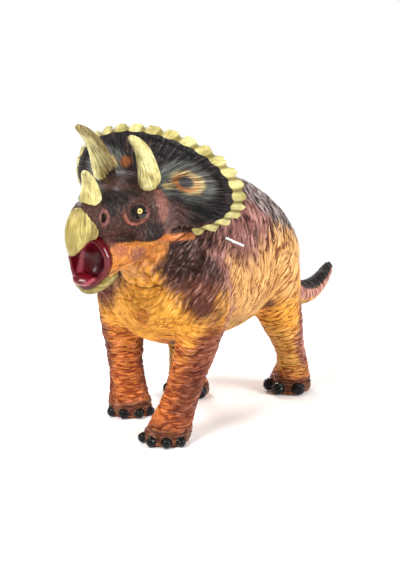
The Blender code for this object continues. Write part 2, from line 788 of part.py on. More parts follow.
def build_lower_beak(place):
    rows = tilted_sections(LOWER_BEAK_PLACE_SHARES, LOWER_BEAK_LENGTH, LOWER_BEAK_FALL,
                           LOWER_BEAK_HALF_WIDTH, LOWER_BEAK_HALF_HEIGHT, LOWER_BEAK_SHARES)
    form = loft("lower_beak_form", rows, BEAK_SIDES, CUTTERS, None, place, LOWER_BEAK_TAPER_SHARES)
    return casting("lower_beak", [form], HORN_YELLOW)


def mouth_way():
    slope = math.radians(MOUTH_TILT)
    return Vector((0.0, -math.cos(slope), -math.sin(slope)))


def mouth_sections(shares, inset=0.0):
    """Rings of the mouth, or of its hollow where an inset is given."""
    centre = on_skull(MOUTH_PLACE_SHARES)
    rows = []
    for forward, size in shares:
        ring_centre = centre + mouth_way() * (MOUTH_DEPTH * forward)
        rows.append((ring_centre, MOUTH_TILT, (MOUTH_HALF_WIDTH - inset) * size,
                     (MOUTH_RISE - inset) * size, (MOUTH_DROP - inset) * size))
    return rows


def build_mouth(place):
    liner = loft("mouth_liner", mouth_sections(MOUTH_SHARES), MOUTH_SIDES, PARTS, MOUTH_RED, place,
                 MOUTH_TAPER_SHARES)
    hollow = loft("mouth_hollow", mouth_sections(HOLLOW_SHARES, MOUTH_WALL), MOUTH_SIDES, CUTTERS, None, place,
                  MOUTH_TAPER_SHARES)
    boolean(liner, hollow, "DIFFERENCE")
    centre = on_skull(MOUTH_PLACE_SHARES)
    across, forward, down = TONGUE_PLACE_SHARES
    floor = centre + mouth_way() * (MOUTH_DEPTH * forward) - UPWARD * (MOUTH_DROP * down)
    width, length, height = TONGUE_SHARES
    size = Vector((MOUTH_HALF_WIDTH * width, MOUTH_DEPTH * length, MOUTH_DROP * height))
    tongue = ball("tongue_form", floor, size, TONGUE_SEGMENTS, TONGUE_RINGS, CUTTERS, None, place)
    boolean(liner, tongue, "UNION")
    return liner


def build_mouth_form(place):
    """The mouth with its opening carried forward, to cut the head and the lower beak."""
    rows = mouth_sections(MOUTH_SHARES + MOUTH_OPENING_SHARES)
    return loft("mouth_form", rows, MOUTH_SIDES, CUTTERS, None, place, MOUTH_TAPER_SHARES)


def build_eyes(place):
    size = Vector((1.0, 1.0, 1.0)) * EYE_RADIUS
    eyes = []
    for name, side in (("left_eye", 1.0), ("right_eye", -1.0)):
        centre = on_skull(EYE_PLACE_SHARES, side) + LEFT * (EYE_PROUD * side)
        eyes.append(ball(name, centre, size, EYE_SEGMENTS, EYE_RINGS, PARTS, EYE_BLACK, place))
    return eyes


def left_side_point(piece, y, z):
    """Where a line from the far left, level and square to the midline, meets a piece."""
    bpy.context.view_layer.update()
    graph = bpy.context.evaluated_depsgraph_get()
    start = Vector((TORSO_LENGTH, y, z))
    hit, point, normal, face = piece.ray_cast(start, -LEFT, depsgraph=graph)
    return point


def build_tag_pin(torso):
    along, height = TAG_PLACE_SHARES
    seat = left_side_point(torso, along_torso(along), torso_height(height))
    centre = seat + TAG_STEM_WAY * (TAG_STEM_LENGTH / 2)
    pin = rod("tag_pin", TAG_BAR_RADIUS, TAG_BAR_LENGTH, TAG_SIDES, PARTS, TAG_WHITE,
              Matrix.Translation(centre) @ towards(TAG_BAR_WAY))
    stem = rod("tag_stem", TAG_STEM_RADIUS, TAG_STEM_LENGTH, TAG_SIDES, CUTTERS, None,
               Matrix.Translation(seat) @ towards(TAG_STEM_WAY))
    boolean(pin, stem, "UNION")
    settle(pin)
    return pin


def seat_in(carrier, pieces):
    """Cut into a carrier the seats of the pieces that it holds."""
    for piece in pieces:
        for form in FORMS.get(piece.name, [piece]):
            boolean(carrier, grown_cutter(form), "DIFFERENCE")


def stand_over_origin(pieces):
    """Hang the pieces on one empty that brings the middle of their box over the origin."""
    corners = [piece.matrix_world @ vert.co for piece in pieces for vert in piece.data.vertices]
    low = Vector([min(corner[axis] for corner in corners) for axis in range(3)])
    high = Vector([max(corner[axis] for corner in corners) for axis in range(3)])
    figure = bpy.data.objects.new("figure", None)
    PARTS.objects.link(figure)
    for piece in pieces:
        piece.parent = figure
    figure.location = (-(low.x + high.x) / 2, -(low.y + high.y) / 2, -low.z)


torso = build_torso()
legs = build_legs()
tail = build_tail()
place = head_place()
head = build_head(place)
horns = build_horns(place)
upper_beak = build_upper_beak(place)
lower_beak = build_lower_beak(place)
mouth_liner = build_mouth(place)
mouth_form = build_mouth_form(place)
eyes = build_eyes(place)
tag_pin = build_tag_pin(torso)
seat_in(upper_beak, horns[-1:])
settle(upper_beak)
seat_in(mouth_liner, [upper_beak])
settle(mouth_liner)
seat_in(lower_beak, [mouth_form])
settle(lower_beak)
seat_in(head, [mouth_form, upper_beak, lower_beak] + horns + eyes + legs[:2])
settle(head)
seat_in(torso, [head, tail, tag_pin] + legs)
settle(torso)
stand_over_origin([torso, head, mouth_liner, upper_beak, lower_beak, tail, tag_pin] + legs + horns + eyes)
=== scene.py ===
import math

import bmesh
import bpy
import numpy as np
from mathutils import Matrix, Vector
from mathutils.bvhtree import BVHTree


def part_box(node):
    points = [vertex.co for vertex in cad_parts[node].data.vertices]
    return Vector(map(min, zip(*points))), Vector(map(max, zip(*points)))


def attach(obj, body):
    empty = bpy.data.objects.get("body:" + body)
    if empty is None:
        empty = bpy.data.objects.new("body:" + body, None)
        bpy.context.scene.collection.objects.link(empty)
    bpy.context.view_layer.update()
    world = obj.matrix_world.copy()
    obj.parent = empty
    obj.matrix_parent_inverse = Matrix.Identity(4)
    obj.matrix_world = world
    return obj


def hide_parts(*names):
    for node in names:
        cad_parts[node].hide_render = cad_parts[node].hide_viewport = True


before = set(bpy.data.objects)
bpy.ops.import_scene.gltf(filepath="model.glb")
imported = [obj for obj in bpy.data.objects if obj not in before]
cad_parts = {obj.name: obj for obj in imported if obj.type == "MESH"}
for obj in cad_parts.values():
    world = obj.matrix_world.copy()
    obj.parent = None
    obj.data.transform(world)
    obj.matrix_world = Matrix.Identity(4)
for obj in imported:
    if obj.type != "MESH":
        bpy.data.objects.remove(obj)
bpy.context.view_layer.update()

MM = 0.001

# Voxels of the skins, and how much smaller a piece gets that only fills its seat in the skin
SKIN_VOXEL = 0.56
HORN_VOXEL = 0.36
MOUTH_VOXEL = 0.25
EYE_VOXEL = 0.16
CORE_DEPTH = 0.6

# Points further from a casting's box than the first get the second as their distance
MEASURED = 4.0
FAR_AWAY = 20.0

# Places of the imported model
MIDLINE = -0.38
HEAD = np.array((-0.38, -72.51, 107.7))
HEAD_TURN = 2.0
HEAD_TIP = 7.0
LEGS = {
    "left_foreleg": {"foot": (15.42, -72.49), "root": (24.8, -51.0), "heading": 12.0},
    "right_foreleg": {"foot": (-23.28, -45.49), "root": (-25.6, -51.0), "heading": 36.0},
    "left_hind_leg": {"foot": (23.76, 30.59), "root": (24.5, 11.0), "heading": 2.0},
    "right_hind_leg": {"foot": (-16.50, -3.0), "root": (-25.2, 11.0), "heading": 12.0},
}
ROOT_HEIGHT = 65.9
FRILL = {
    "centre": (0.0, 9.98, 8.0), "half_width": 43.5, "rise": 25.0, "drop": 19.5,
    "forward": 1.8, "sweep": 7.0, "bulge": 8.0, "band": 0.962, "knobs": 30.0,
}
EYE = np.array((15.3, -21.2, 3.4))
EYE_SOCKET = EYE + (0.0, -0.9, 0.0)
NOSTRIL = np.array((6.7, -36.1, 0.7))
NAILS = {
    "fore": {"reach": 12.2 * 0.92, "half_size": (2.44, 2.2, 2.44),
             "bearings": (-60.0, -19.0, 21.0, 58.0)},
    "hind": {"reach": 12.5 * 0.92, "half_size": (3.6, 2.75, 3.25), "bearings": (-50.0, -6.0, 50.0)},
}
CASTINGS = ("torso", "head", "tail", *LEGS)
HORNS = ("left_brow_horn", "right_brow_horn", "nose_horn")
BEAKS = ("upper_beak", "lower_beak")
EYES = ("left_eye", "right_eye")

# The dark back's lower edge: places along the figure and its height there
BACK_LINE = (
    (-40.0, -9.6, 3.0, 25.0, 42.0, 52.0, 60.0),
    (113.0, 104.0, 91.0, 84.0, 68.0, 52.0, 44.0),
)


def rgb(red, green, blue):
    """A colour as seen on a screen in the linear values that shaders take."""
    values = []
    for part in (red, green, blue):
        part = part / 255
        values.append(part / 12.92 if part <= 0.04045 else ((part + 0.055) / 1.055) ** 2.4)
    return (*values, 1.0)


# Numbers over whole arrays of points

def blend(low, high, values):
    """0 below low, 1 above high and a smooth way between them; low may be above high."""
    share = np.clip((values - low) / (high - low), 0.0, 1.0)
    return share * share * (3.0 - 2.0 * share)


def gauss(values, middle, width):
    """1 at the middle value and nearly 0 at twice the width from it."""
    return np.exp(-((values - middle) / width) ** 2)


def hashed(cells, seed):
    """A fixed value from -1 to 1 for each cell, mixed from its whole numbers and the seed."""
    primes = np.array((73856093, 19349663, 83492791))
    mixed = np.bitwise_xor.reduce(cells * primes, axis=1) ^ (seed * 2654435)
    mixed = (mixed ^ (mixed >> 13)) * 1274126177
    return ((mixed ^ (mixed >> 16)) & 65535) / 32767.5 - 1.0


def noise(points, seed):
    """Smooth noise from -1 to 1 with features of about one unit."""
    floor = np.floor(points)
    share = points - floor
    share = share * share * (3.0 - 2.0 * share)
    floor = floor.astype(np.int64)
    total = np.zeros(len(points))
    for corner in range(8):
        step = np.array((corner & 1, corner >> 1 & 1, corner >> 2 & 1))
        weight = np.prod(np.where(step == 1, share, 1.0 - share), axis=1)
        total += weight * hashed(floor + step, seed)
    return total


def layered(points, octaves, seed):
    """Noise with finer and weaker noise on it, each octave half the size of the one before."""
    total = np.zeros(len(points))
    for octave in range(octaves):
        total += noise(points * 2.0 ** octave, seed + octave) / 2.0 ** octave
    return total


def creased(points, seed):
    """Rounded ridges of height 1 parted by narrow creases at 0."""
    return np.clip(np.abs(noise(points, seed)) * 2.6, 0.0, 1.0) ** 0.6


def stroke(points, start, end, radius):
    """An airbrushed line from one place to another, fading to 0 at its radius."""
    start = np.array(start)
    way = np.array(end) - start
    share = np.clip((points - start) @ way / (way @ way), 0.0, 1.0)
    away = np.linalg.norm(points - start - share[:, None] * way, axis=1)
    return blend(1.0, 0.2, away / radius)


def spot(points, centre, radii, hardness):
    """An airbrushed spot: 1 in its middle, fading to 0 at its radii."""
    away = np.linalg.norm((points - np.array(centre)) / np.array(radii), axis=1)
    return blend(1.0, 1.0 - hardness, away)


# Meshes

def mesh_arrays(mesh):
    """A mesh's points, and its edges as pairs of point numbers."""
    points = np.zeros(len(mesh.vertices) * 3)
    mesh.vertices.foreach_get("co", points)
    edges = np.zeros(len(mesh.edges) * 2, np.int64)
    mesh.edges.foreach_get("vertices", edges)
    return points.reshape(-1, 3) / MM, edges.reshape(-1, 2)


def mesh_normals(mesh):
    """The normal at each point of a mesh."""
    normals = np.zeros(len(mesh.vertices) * 3)
    mesh.vertices.foreach_get("normal", normals)
    return normals.reshape(-1, 3)


def set_points(mesh, points):
    """Moves a mesh's points to new places."""
    mesh.vertices.foreach_set("co", (points * MM).ravel())
    mesh.update()


def relaxed(points, edges, rounds, weight):
    """Points whose first three numbers move towards the mean of their neighbours, again and again."""
    start, end = edges.T
    total = len(points)
    count = np.bincount(start, minlength=total) + np.bincount(end, minlength=total)
    weight = np.broadcast_to(weight, (total,)) / count
    for _ in range(rounds):
        pull = np.zeros_like(points)
        for axis in range(3):
            line = points[:, axis]
            near = np.bincount(start, line[end], total) + np.bincount(end, line[start], total)
            pull[:, axis] = near - count * line
        points = points + pull * weight[:, None]
    return points


def gathered(nodes, cores):
    """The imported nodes' meshes in one. Cores are taken in smaller, to fill their seats."""
    doubled_below = 0.002 * MM
    whole = bmesh.new()
    for node in (*nodes, *cores):
        shape = bmesh.new()
        shape.from_mesh(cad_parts[node].data)
        bmesh.ops.remove_doubles(shape, verts=shape.verts, dist=doubled_below)
        if node in cores:
            shape.normal_update()
            for vert in shape.verts:
                vert.co -= vert.normal * (CORE_DEPTH * MM)
        mesh = bpy.data.meshes.new(node + "_copy")
        shape.to_mesh(mesh)
        shape.free()
        whole.from_mesh(mesh)
    return whole


def voxel_mesh(name, nodes, voxel, cores=()):
    """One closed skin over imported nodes."""
    shape = gathered(nodes, cores)
    rough = bpy.data.meshes.new(name + "_rough")
    shape.to_mesh(rough)
    shape.free()
    carrier = bpy.data.objects.new(name + "_rough", rough)
    bpy.context.scene.collection.objects.link(carrier)
    remesh = carrier.modifiers.new("remesh", "REMESH")
    remesh.mode = "VOXEL"
    remesh.voxel_size = voxel * MM
    graph = bpy.context.evaluated_depsgraph_get()
    mesh = bpy.data.meshes.new_from_object(carrier.evaluated_get(graph))
    mesh.name = name
    bpy.data.objects.remove(carrier)
    return mesh


def store(mesh, name, values):
    """A number or a vector for each point, under a name that the paint reads."""
    kind, key = ("FLOAT", "value") if values.ndim == 1 else ("FLOAT_VECTOR", "vector")
    layer = mesh.attributes.new(name, kind, "POINT")
    layer.data.foreach_set(key, values.astype(np.float32).ravel())


def add_piece(name, mesh, finish, nodes):
    """One visible piece with its paint and slot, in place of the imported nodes."""
    mesh.shade_smooth()
    mesh.materials.clear()
    mesh.materials.append(finish)
    piece = bpy.data.objects.new(name, mesh)
    bpy.context.scene.collection.objects.link(piece)
    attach(piece, "root")
    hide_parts(*nodes)


# Material nodes

class Nodes:
    """A material's node tree with one short call for each kind of node."""

    def __init__(self, name, roughness, **sockets):
        self.material = bpy.data.materials.new(name)
        self.material.use_nodes = True
        self.tree = self.material.node_tree
        self.shader = self.tree.nodes["Principled BSDF"]
        self.shader.inputs["Roughness"].default_value = roughness
        for socket, value in sockets.items():
            self.shader.inputs[socket.replace("_", " ")].default_value = value

    def new(self, kind, inputs, **settings):
        """A node whose inputs are values or the outputs of other nodes."""
        node = self.tree.nodes.new("ShaderNode" + kind)
        for key, value in settings.items():
            setattr(node, key, value)
        for key, value in inputs.items():
            if isinstance(value, bpy.types.NodeSocket):
                self.tree.links.new(value, node.inputs[key])
            else:
                node.inputs[key].default_value = value
        return node

    def attribute(self, name, vector=False):
        node = self.new("Attribute", {}, attribute_name=name)
        return node.outputs["Vector" if vector else "Fac"]

    def noise(self, vector, scale, detail, roughness=0.5, distortion=0.0):
        return self.new("TexNoise", {"Vector": vector, "Scale": scale, "Detail": detail,
                                     "Roughness": roughness, "Distortion": distortion}).outputs["Fac"]

    def place(self):
        return self.new("TexCoord", {}).outputs["Object"]

    def scaled(self, vector, size):
        return self.new("Mapping", {"Vector": vector, "Scale": size}).outputs["Vector"]

    def math(self, operation, first, second=0.0, third=0.0):
        return self.new("Math", {0: first, 1: second, 2: third}, operation=operation).outputs[0]

    def times(self, first, second):
        return self.math("MULTIPLY", first, second)

    def between(self, value, low, high):
        """0 up to the low value, 1 from the high one; low may be above high."""
        return self.new("MapRange", {"Value": value, "From Min": low, "From Max": high},
                        interpolation_type="SMOOTHSTEP").outputs["Result"]

    def mix(self, share, under, over, kind="MIX"):
        return self.new("Mix", {0: share, 6: under, 7: over}, data_type="RGBA",
                        blend_type=kind).outputs[2]

    def finish(self, colour, height=None, strength=0.0, depth=0.0):
        """The material with this colour and, where given, this relief."""
        self.tree.links.new(colour, self.shader.inputs["Base Color"])
        if height:
            bump = self.new("Bump", {"Height": height, "Strength": strength, "Distance": depth * MM})
            self.tree.links.new(bump.outputs["Normal"], self.shader.inputs["Normal"])
        return self.material


# The castings under one skin of folds, then parted again at their seams

def head_axes():
    """The head's axes in the figure's frame, one in each column."""
    turn = Matrix.Rotation(math.radians(HEAD_TURN), 3, "Z")
    tip = Matrix.Rotation(math.radians(HEAD_TIP), 3, "Y")
    return np.array(turn @ tip)


def in_head(points):
    """Points in the head's own frame: +X its left, -Y forward, +Z up."""
    return (points - HEAD) @ head_axes()


class Skin:
    """The points of the whole skin, with the places and weights that its folds and paint follow."""

    def __init__(self, points):
        self.points = points
        self.x, self.y, self.z = points.T
        self.side = np.abs(self.x - MIDLINE)
        self.local = in_head(points)
        self.mirrored = self.local.copy()
        self.mirrored[:, 0] = np.abs(self.mirrored[:, 0])
        self.head_side, self.head_y, self.head_z = self.mirrored.T
        self.leg, self.behind_leg, self.leg_shade, self.ring_height = self.legs()
        self.tail = blend(51.0, 62.0, self.y)
        self.frill_radius, self.frill_turn, self.frill_depth = self.frill_places()
        self.frill_sheet = blend(0.0, 4.0, self.head_y) * blend(31.0, 26.0, self.head_y)
        self.frill_sheet *= blend(-14.0, -12.0, self.head_z) * blend(-8.0, -5.0, self.frill_depth)
        self.frill_sheet *= blend(12.0, 9.0, self.frill_depth)
        self.knob = 0.5 + 0.5 * np.cos(self.frill_turn * FRILL["knobs"])
        self.rim = np.minimum(self.frill_radius, 1.2) - FRILL["band"] + 0.014 * self.knob
        self.rim -= 2.0 * (1.0 - self.frill_sheet)
        self.rim -= blend(1.0, -1.0, self.head_z) * blend(25.0, 24.0, self.head_side)
        self.frill_front = blend(-7.0, 1.5, self.head_y) * blend(2.4, 1.4, self.frill_depth)
        self.frill_front *= blend(-13.5, -11.0, self.head_z - 0.3 * self.head_side)
        self.face = blend(6.0, 0.0, self.head_y) * blend(-24.0, -16.0, self.head_z)
        self.neck = blend(-20.0, -44.0, self.y) * blend(30.0, 60.0, self.z)
        self.chest = blend(-52.0, -60.0, self.y) * blend(92.0, 80.0, self.z)
        self.chest = self.chest * blend(36.0, 44.0, self.z) * (1.0 - self.leg)

    def legs(self):
        """The legs' weight, then for the nearest leg: how far a point is behind its middle,
        how far in its shade, and its height with the lean of the rings on the thigh."""
        leg = np.zeros(len(self.points))
        behind = np.zeros(len(self.points))
        shade = np.zeros(len(self.points))
        rings = self.z.copy()
        for name, place in LEGS.items():
            foot = np.array(place["foot"])
            root = np.array(place["root"])
            share = np.clip(self.z / ROOT_HEIGHT, 0.0, 1.0)[:, None]
            centre = foot + (root - foot) * share
            away = np.linalg.norm(self.points[:, :2] - centre, axis=1)
            near = blend(26.0, 15.0, away) * blend(66.0, 42.0, self.z)
            lean = self.y - centre[:, 1]
            outward = np.sign(root[0]) * (self.x - centre[:, 0])
            shaded = 0.75 * lean + 0.55 * outward
            slope = -0.55 * blend(14.0, 40.0, self.z) if "hind" in name else -0.10
            behind = np.where(near > leg, lean, behind)
            shade = np.where(near > leg, shaded, shade)
            rings = np.where(near > leg, self.z + slope * lean, rings)
            leg = np.maximum(leg, near)
        return leg, behind, shade, rings

    def frill_places(self):
        """Share of the frill's radius, turn from its top and depth behind its front."""
        x, y, z = (self.local - FRILL["centre"]).T
        across = x / FRILL["half_width"]
        up = z / np.where(z > 0.0, FRILL["rise"], FRILL["drop"])
        radius = np.hypot(across, up)
        front = FRILL["sweep"] * across ** 2 - FRILL["forward"]
        front = front - FRILL["bulge"] * (1.0 - np.minimum(radius, 1.0) ** 2)
        return radius, np.arctan2(across, up), y - front

    def flows(self):
        """Fold coordinates in millimetres: across the folds, then along them (drawn out)."""
        warp = 2.6 * noise(self.points / 17.0, 5) + 0.9 * noise(self.points / 6.0, 6)
        limb = (self.ring_height + 0.8 * warp, self.behind_leg / 5.0, self.x / 5.0)
        tail = (self.y + 0.35 * (self.z - 50.0), self.z / 8.0, self.x / 8.0)
        soft_side = np.sqrt(self.side ** 2 + 81.0)
        front_y = np.logaddexp(self.y / 4.0, -58.0 / 4.0) * 4.0
        across_neck = 0.8 * (front_y + soft_side) - 0.52 * self.z + 0.9 * warp
        neck = (across_neck, self.z / 4.2, self.x / 4.2)
        fan_y, fan_z = self.y + 30.0, self.z - 24.0
        fan = (np.arctan2(fan_y, fan_z) * 48.0 + warp, np.hypot(fan_y, fan_z) / 7.0, self.x / 9.0)
        frill = (self.frill_turn * 26.0 + 0.5 * warp, self.frill_radius * 4.0, self.head_y / 16.0)
        face = (self.local[:, 0], self.local[:, 1], self.local[:, 2] / 1.7)
        flows = {"fan": fan, "neck": neck, "limb": limb, "tail": tail, "face": face, "frill": frill}
        return {name: np.stack(flow, axis=1) for name, flow in flows.items()}

    def crossed(self, fan, neck, limb, tail, face, frill):
        """One value from the values of all the fields, each where it is the strongest."""
        value = fan + (neck - fan) * self.neck
        value = value + (limb - value) * self.leg
        value = value + (tail - value) * self.tail
        value = value + (face - value) * self.face
        return value + (frill - value) * self.frill_front

    def grain(self, flows, pitch, seed, pattern=noise):
        """A pattern drawn out along the folds, with features one pitch wide."""
        return self.crossed(**{name: pattern(flow * (1.0 / pitch, 1.0, 1.0), seed + row)
                               for row, (name, flow) in enumerate(flows.items())})


def settled_skin():
    """The castings as one mesh, smoothed less at feet, tail tip, snout and the frill's rim."""
    mesh = voxel_mesh("skin", CASTINGS, SKIN_VOXEL, (*HORNS, *BEAKS, *EYES))
    points, edges = mesh_arrays(mesh)
    skin = Skin(points)
    soften = 0.5 * blend(1.0, 4.0, skin.z) * (0.12 + 0.88 * blend(14.0, 26.0, skin.z))
    soften *= 1.0 - 0.6 * blend(95.0, 118.0, skin.y)
    head_front = blend(-44.0, -56.0, skin.y) * blend(84.0, 90.0, skin.z)
    rim = blend(0.60, 0.80, skin.frill_radius) * skin.frill_sheet
    soften *= 1.0 - 0.9 * np.maximum(head_front, rim)
    points = relaxed(points, edges, 50, soften)
    set_points(mesh, points)
    return mesh, points, edges


def nearest_casting(points):
    """How far each point is from each casting's solid."""
    away = np.full((len(CASTINGS), len(points)), FAR_AWAY)
    for row, node in enumerate(CASTINGS):
        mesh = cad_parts[node].data
        corners = [vert.co / MM for vert in mesh.vertices]
        tree = BVHTree.FromPolygons(corners, [face.vertices for face in mesh.polygons])
        low, high = (np.array(corner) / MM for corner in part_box(node))
        near = np.all((points > low - MEASURED) & (points < high + MEASURED), axis=1)
        for index in np.nonzero(near)[0]:
            away[row, index] = tree.find_nearest(points[index])[3]
    return away


def face_relief(skin):
    """Lids, brow, nostrils and cheek folds, in millimetres outward."""
    height = np.zeros(len(skin.points))
    near_eye = skin.mirrored - EYE
    away = np.linalg.norm(near_eye, axis=1)
    below = blend(1.5, -2.5, near_eye[:, 2])
    above = 1.0 - below
    height += 0.45 * gauss(away, 4.6, 0.7)
    height -= 0.5 * blend(3.9, 3.2, away)
    height -= 0.35 * gauss(away, 5.6, 0.6) * below
    height += 0.60 * gauss(away, 7.0, 0.9) * below
    height -= 0.40 * gauss(away, 8.3, 0.7) * below
    height += 0.70 * gauss(away, 6.6, 1.4) * above
    near_nostril = np.linalg.norm((skin.mirrored - NOSTRIL) * (1.0, 1.15, 0.75), axis=1)
    height += 0.55 * gauss(near_nostril, 2.6, 0.7) - 1.3 * gauss(near_nostril, 0.0, 1.3)
    height += 2.0 * spot(skin.mirrored, (2.0, -9.0, 14.0), (11.0, 9.0, 6.0), 0.9)
    ledge = blend(2.0, 0.0, skin.head_y) * blend(-24.0, -18.0, skin.head_y)
    height -= 0.5 * ledge * gauss(skin.head_z, -11.6, 0.9)
    height += 0.5 * ledge * gauss(skin.head_z, -9.6, 1.3)
    return height * skin.face


def seam_distance(skin, away):
    """About how far each point is from the glue seam between torso and head."""
    gap = np.abs(away[:, 1] - away[:, 0]) + 3.0 * (np.minimum(away[:, 0], away[:, 1]) > 3.0)
    return gap + 3.0 * blend(88.0, 92.0, skin.z)


def fold_pattern(skin, flows):
    """The folds, from 0 in a crease to 1 on a ridge; rings on the tail."""
    ring_pitch = 1.9
    broad = skin.grain(flows, 1.15, 10, creased)
    narrow = skin.grain(flows, 0.8, 20, creased)
    rings = 0.5 + 0.5 * np.sin(flows["tail"][:, 0] * math.tau / ring_pitch)
    fold = broad * (0.6 + 0.4 * narrow)
    return fold + (rings - fold) * skin.tail * 0.8


def wrinkle_pattern(skin):
    """The chest's large wrinkles: 0 in their grooves and 1 on the skin between them."""
    warp = 0.5 * noise(skin.points / 9.0, 71)
    wrinkle = creased(skin.points / (11.0, 11.0, 6.5) + warp[:, None], 72)
    return 1.0 - skin.chest * (1.0 - np.clip(wrinkle * 1.6, 0.0, 1.0))


def skin_relief(skin, fold, wrinkle, seam):
    """Folds, swellings, wrinkles, face, knobs and the neck's seam, outward."""
    depth = 0.95 * (1.0 - 0.72 * skin.face) * (1.0 - 0.40 * skin.frill_front)
    # No folds on the rim, the soles, the eyes and round the mouth
    calm = (1.0 - blend(-0.09, -0.05, skin.rim)) * blend(1.0, 6.0, skin.z)
    calm = calm * blend(3.6, 5.0, np.linalg.norm(skin.mirrored - EYE, axis=1))
    calm *= 1.0 - spot(skin.mirrored, (0.0, -28.0, -22.0), (15.0, 16.0, 17.0), 0.3)
    height = depth * calm * (fold - 0.55)
    height += 0.30 * calm * layered(skin.points / 12.0, 2, 21) * blend(4.0, 12.0, skin.z)
    height += 1.1 * (wrinkle - 1.0)
    height += face_relief(skin)
    height += 0.4 * blend(-0.02, 0.02, skin.rim) * (skin.knob - 0.5)
    height -= 0.5 * gauss(seam, 0.0, 0.55)
    return height


def paint_fields(skin, fold, wrinkle, seam):
    """What the skin's paint reads by name, apart from the coats."""
    names = ("leg", "tail", "neck", "face", "frill_front", "rim")
    fields = {name: getattr(skin, name) for name in names}
    plain = np.maximum(0.82 * skin.face, 0.35 * skin.frill_front)
    shown_fold = fold + (1.0 - fold) * plain
    # Lower in the chest's wrinkles, so that the painted shade of the creases is deeper there.
    fields["fold"] = shown_fold * (0.35 + 0.65 * wrinkle)
    throat = blend(-50.0, -58.0, skin.y) * blend(14.0, 6.0, skin.side) * (1.0 - skin.face)
    fields["sleek"] = np.maximum(skin.chest, throat) * (1.0 - skin.frill_front)
    fields["wrinkle"] = wrinkle
    fields["nail"] = nail_field(skin.points)
    fields["knob_valley_shade"] = 1.0 - skin.knob
    fields["neck_gap"] = seam
    fields["fold_shading"] = fold_shading_mask(skin)
    # A painted highlight: pale grey on the ridges of the dark back and the tail's top.
    fields["pale_ridge_highlight"] = back_mask(skin) * (1.0 - skin.frill_front) * blend(-0.25, -0.3, skin.rim)
    fields["pale_ridge_highlight"] += skin.tail * blend(0.2, 0.6, tail_height(skin)) * blend(80.0, 55.0, skin.y)
    return fields


def make_skin():
    """The castings' skin, folded and painted as one, then a piece for each casting."""
    mesh, points, edges = settled_skin()
    away = relaxed(nearest_casting(points).T, edges, 25, 0.5)
    owner = np.argmin(away, axis=1)
    skin = Skin(points)
    seam = seam_distance(skin, away)
    flows = skin.flows()
    fold = fold_pattern(skin, flows)
    wrinkle = wrinkle_pattern(skin)
    height = skin_relief(skin, fold, wrinkle, seam)
    set_points(mesh, points + mesh_normals(mesh) * height[:, None] + fuller_knobs(skin))
    for name, flow in flows.items():
        store(mesh, name + "_flow", flow)
    for name, field in paint_fields(skin, fold, wrinkle, seam).items():
        store(mesh, name, field)
    store(mesh, "coat", skin_coats(skin, skin.grain(flows, 0.7, 30)))
    finish = skin_paint()
    for row, node in enumerate(CASTINGS):
        part = parted(mesh, owner, row, node + "_skin")
        add_piece(node + "_skin", part, finish, (node,))


def fuller_knobs(skin):
    """The rim's knobs drawn in at their tips and filled out between them, in millimetres."""
    outward = skin.local - FRILL["centre"]
    outward[:, 1] = 0.0
    outward /= np.linalg.norm(outward, axis=1)[:, None] + 0.001
    fill = blend(-0.01, 0.04, skin.rim) * (0.8 - 1.25 * skin.knob)
    return (outward * fill[:, None]) @ head_axes().T


def parted(mesh, owner, row, name):
    """The faces of a mesh that belong to one casting, with the normals of the whole."""
    whole = mesh_normals(mesh)
    part = mesh.copy()
    part.name = name
    normal = part.attributes.new("whole_normal", "FLOAT_VECTOR", "POINT")
    normal.data.foreach_set("vector", whole.astype(np.float32).ravel())
    shape = bmesh.new()
    shape.from_mesh(part)
    outside = [face for face in shape.faces
               if min(owner[vert.index] for vert in face.verts) != row]
    bmesh.ops.delete(shape, geom=outside, context="FACES")
    shape.to_mesh(part)
    shape.free()
    values = np.zeros(len(part.vertices) * 3, np.float32)
    part.attributes["whole_normal"].data.foreach_get("vector", values)
    part.attributes.remove(part.attributes["whole_normal"])
    part.shade_smooth()
    part.normals_split_custom_set_from_vertices(values.reshape(-1, 3))
    return part


def nail_field(points):
    """Below 0 inside a painted nail, growing outward; in shares of the nail's size."""
    nearest = np.full(len(points), 3.0)
    for name, leg in LEGS.items():
        kind = NAILS["hind" if "hind" in name else "fore"]
        size = np.array(kind["half_size"])
        for bearing in kind["bearings"]:
            turn = math.radians(leg["heading"] + bearing)
            way = np.array((math.sin(turn), -math.cos(turn), 0.0))
            across = np.array((math.cos(turn), math.sin(turn), 0.0))
            centre = np.array((*leg["foot"], 0.0)) + way * kind["reach"] + (0.0, 0.0, size[2] * 1.08)
            away = points - centre
            local = np.stack((away @ across, away @ way, away[:, 2]), axis=1) / size
            nearest = np.minimum(nearest, np.linalg.norm(local, axis=1) - 1.0)
    return nearest


# Coats of airbrushed paint, with painted shade and painted highlights among them

def fold_shading_mask(skin):
    """Where the painted shade in the creases and the painted highlight on the ridges are the strongest:
    upper flanks, shoulders and back.
    """
    upper = blend(-14.0, 12.0, skin.z - 80.0) * (1.0 - skin.leg)
    upper = upper * (1.0 - skin.face) * (1.0 - skin.frill_front)
    shoulder = 0.7 * blend(-40.0, -52.0, skin.y) * blend(46.0, 66.0, skin.z)
    return np.maximum(upper, shoulder * blend(6.0, 14.0, skin.side))


class Coats:
    """Coats laid over each other, each with its own edge."""

    def __init__(self, count, colour, grain):
        self.colour = np.tile(np.array(rgb(*colour)[:3]), (count, 1))
        self.grain = grain

    def spray(self, mask, colour, grip):
        """One coat; the higher the grip, the more its edge follows the folds."""
        share = blend(0.12, 0.88, mask + grip * self.grain * np.minimum(4.0 * mask, 1.0))
        self.colour += share[:, None] * (np.array(rgb(*colour)[:3]) - self.colour)


def back_mask(skin):
    """The dark back, from the neck to the tail's root."""
    line = np.interp(skin.y, *BACK_LINE)
    line = line + 16.0 * blend(7.0, 20.0, skin.side) * blend(34.0, 50.0, skin.y)
    return blend(-9.0, 9.0, skin.z - line) * (1.0 - skin.face) * blend(64.0, 56.0, skin.y)


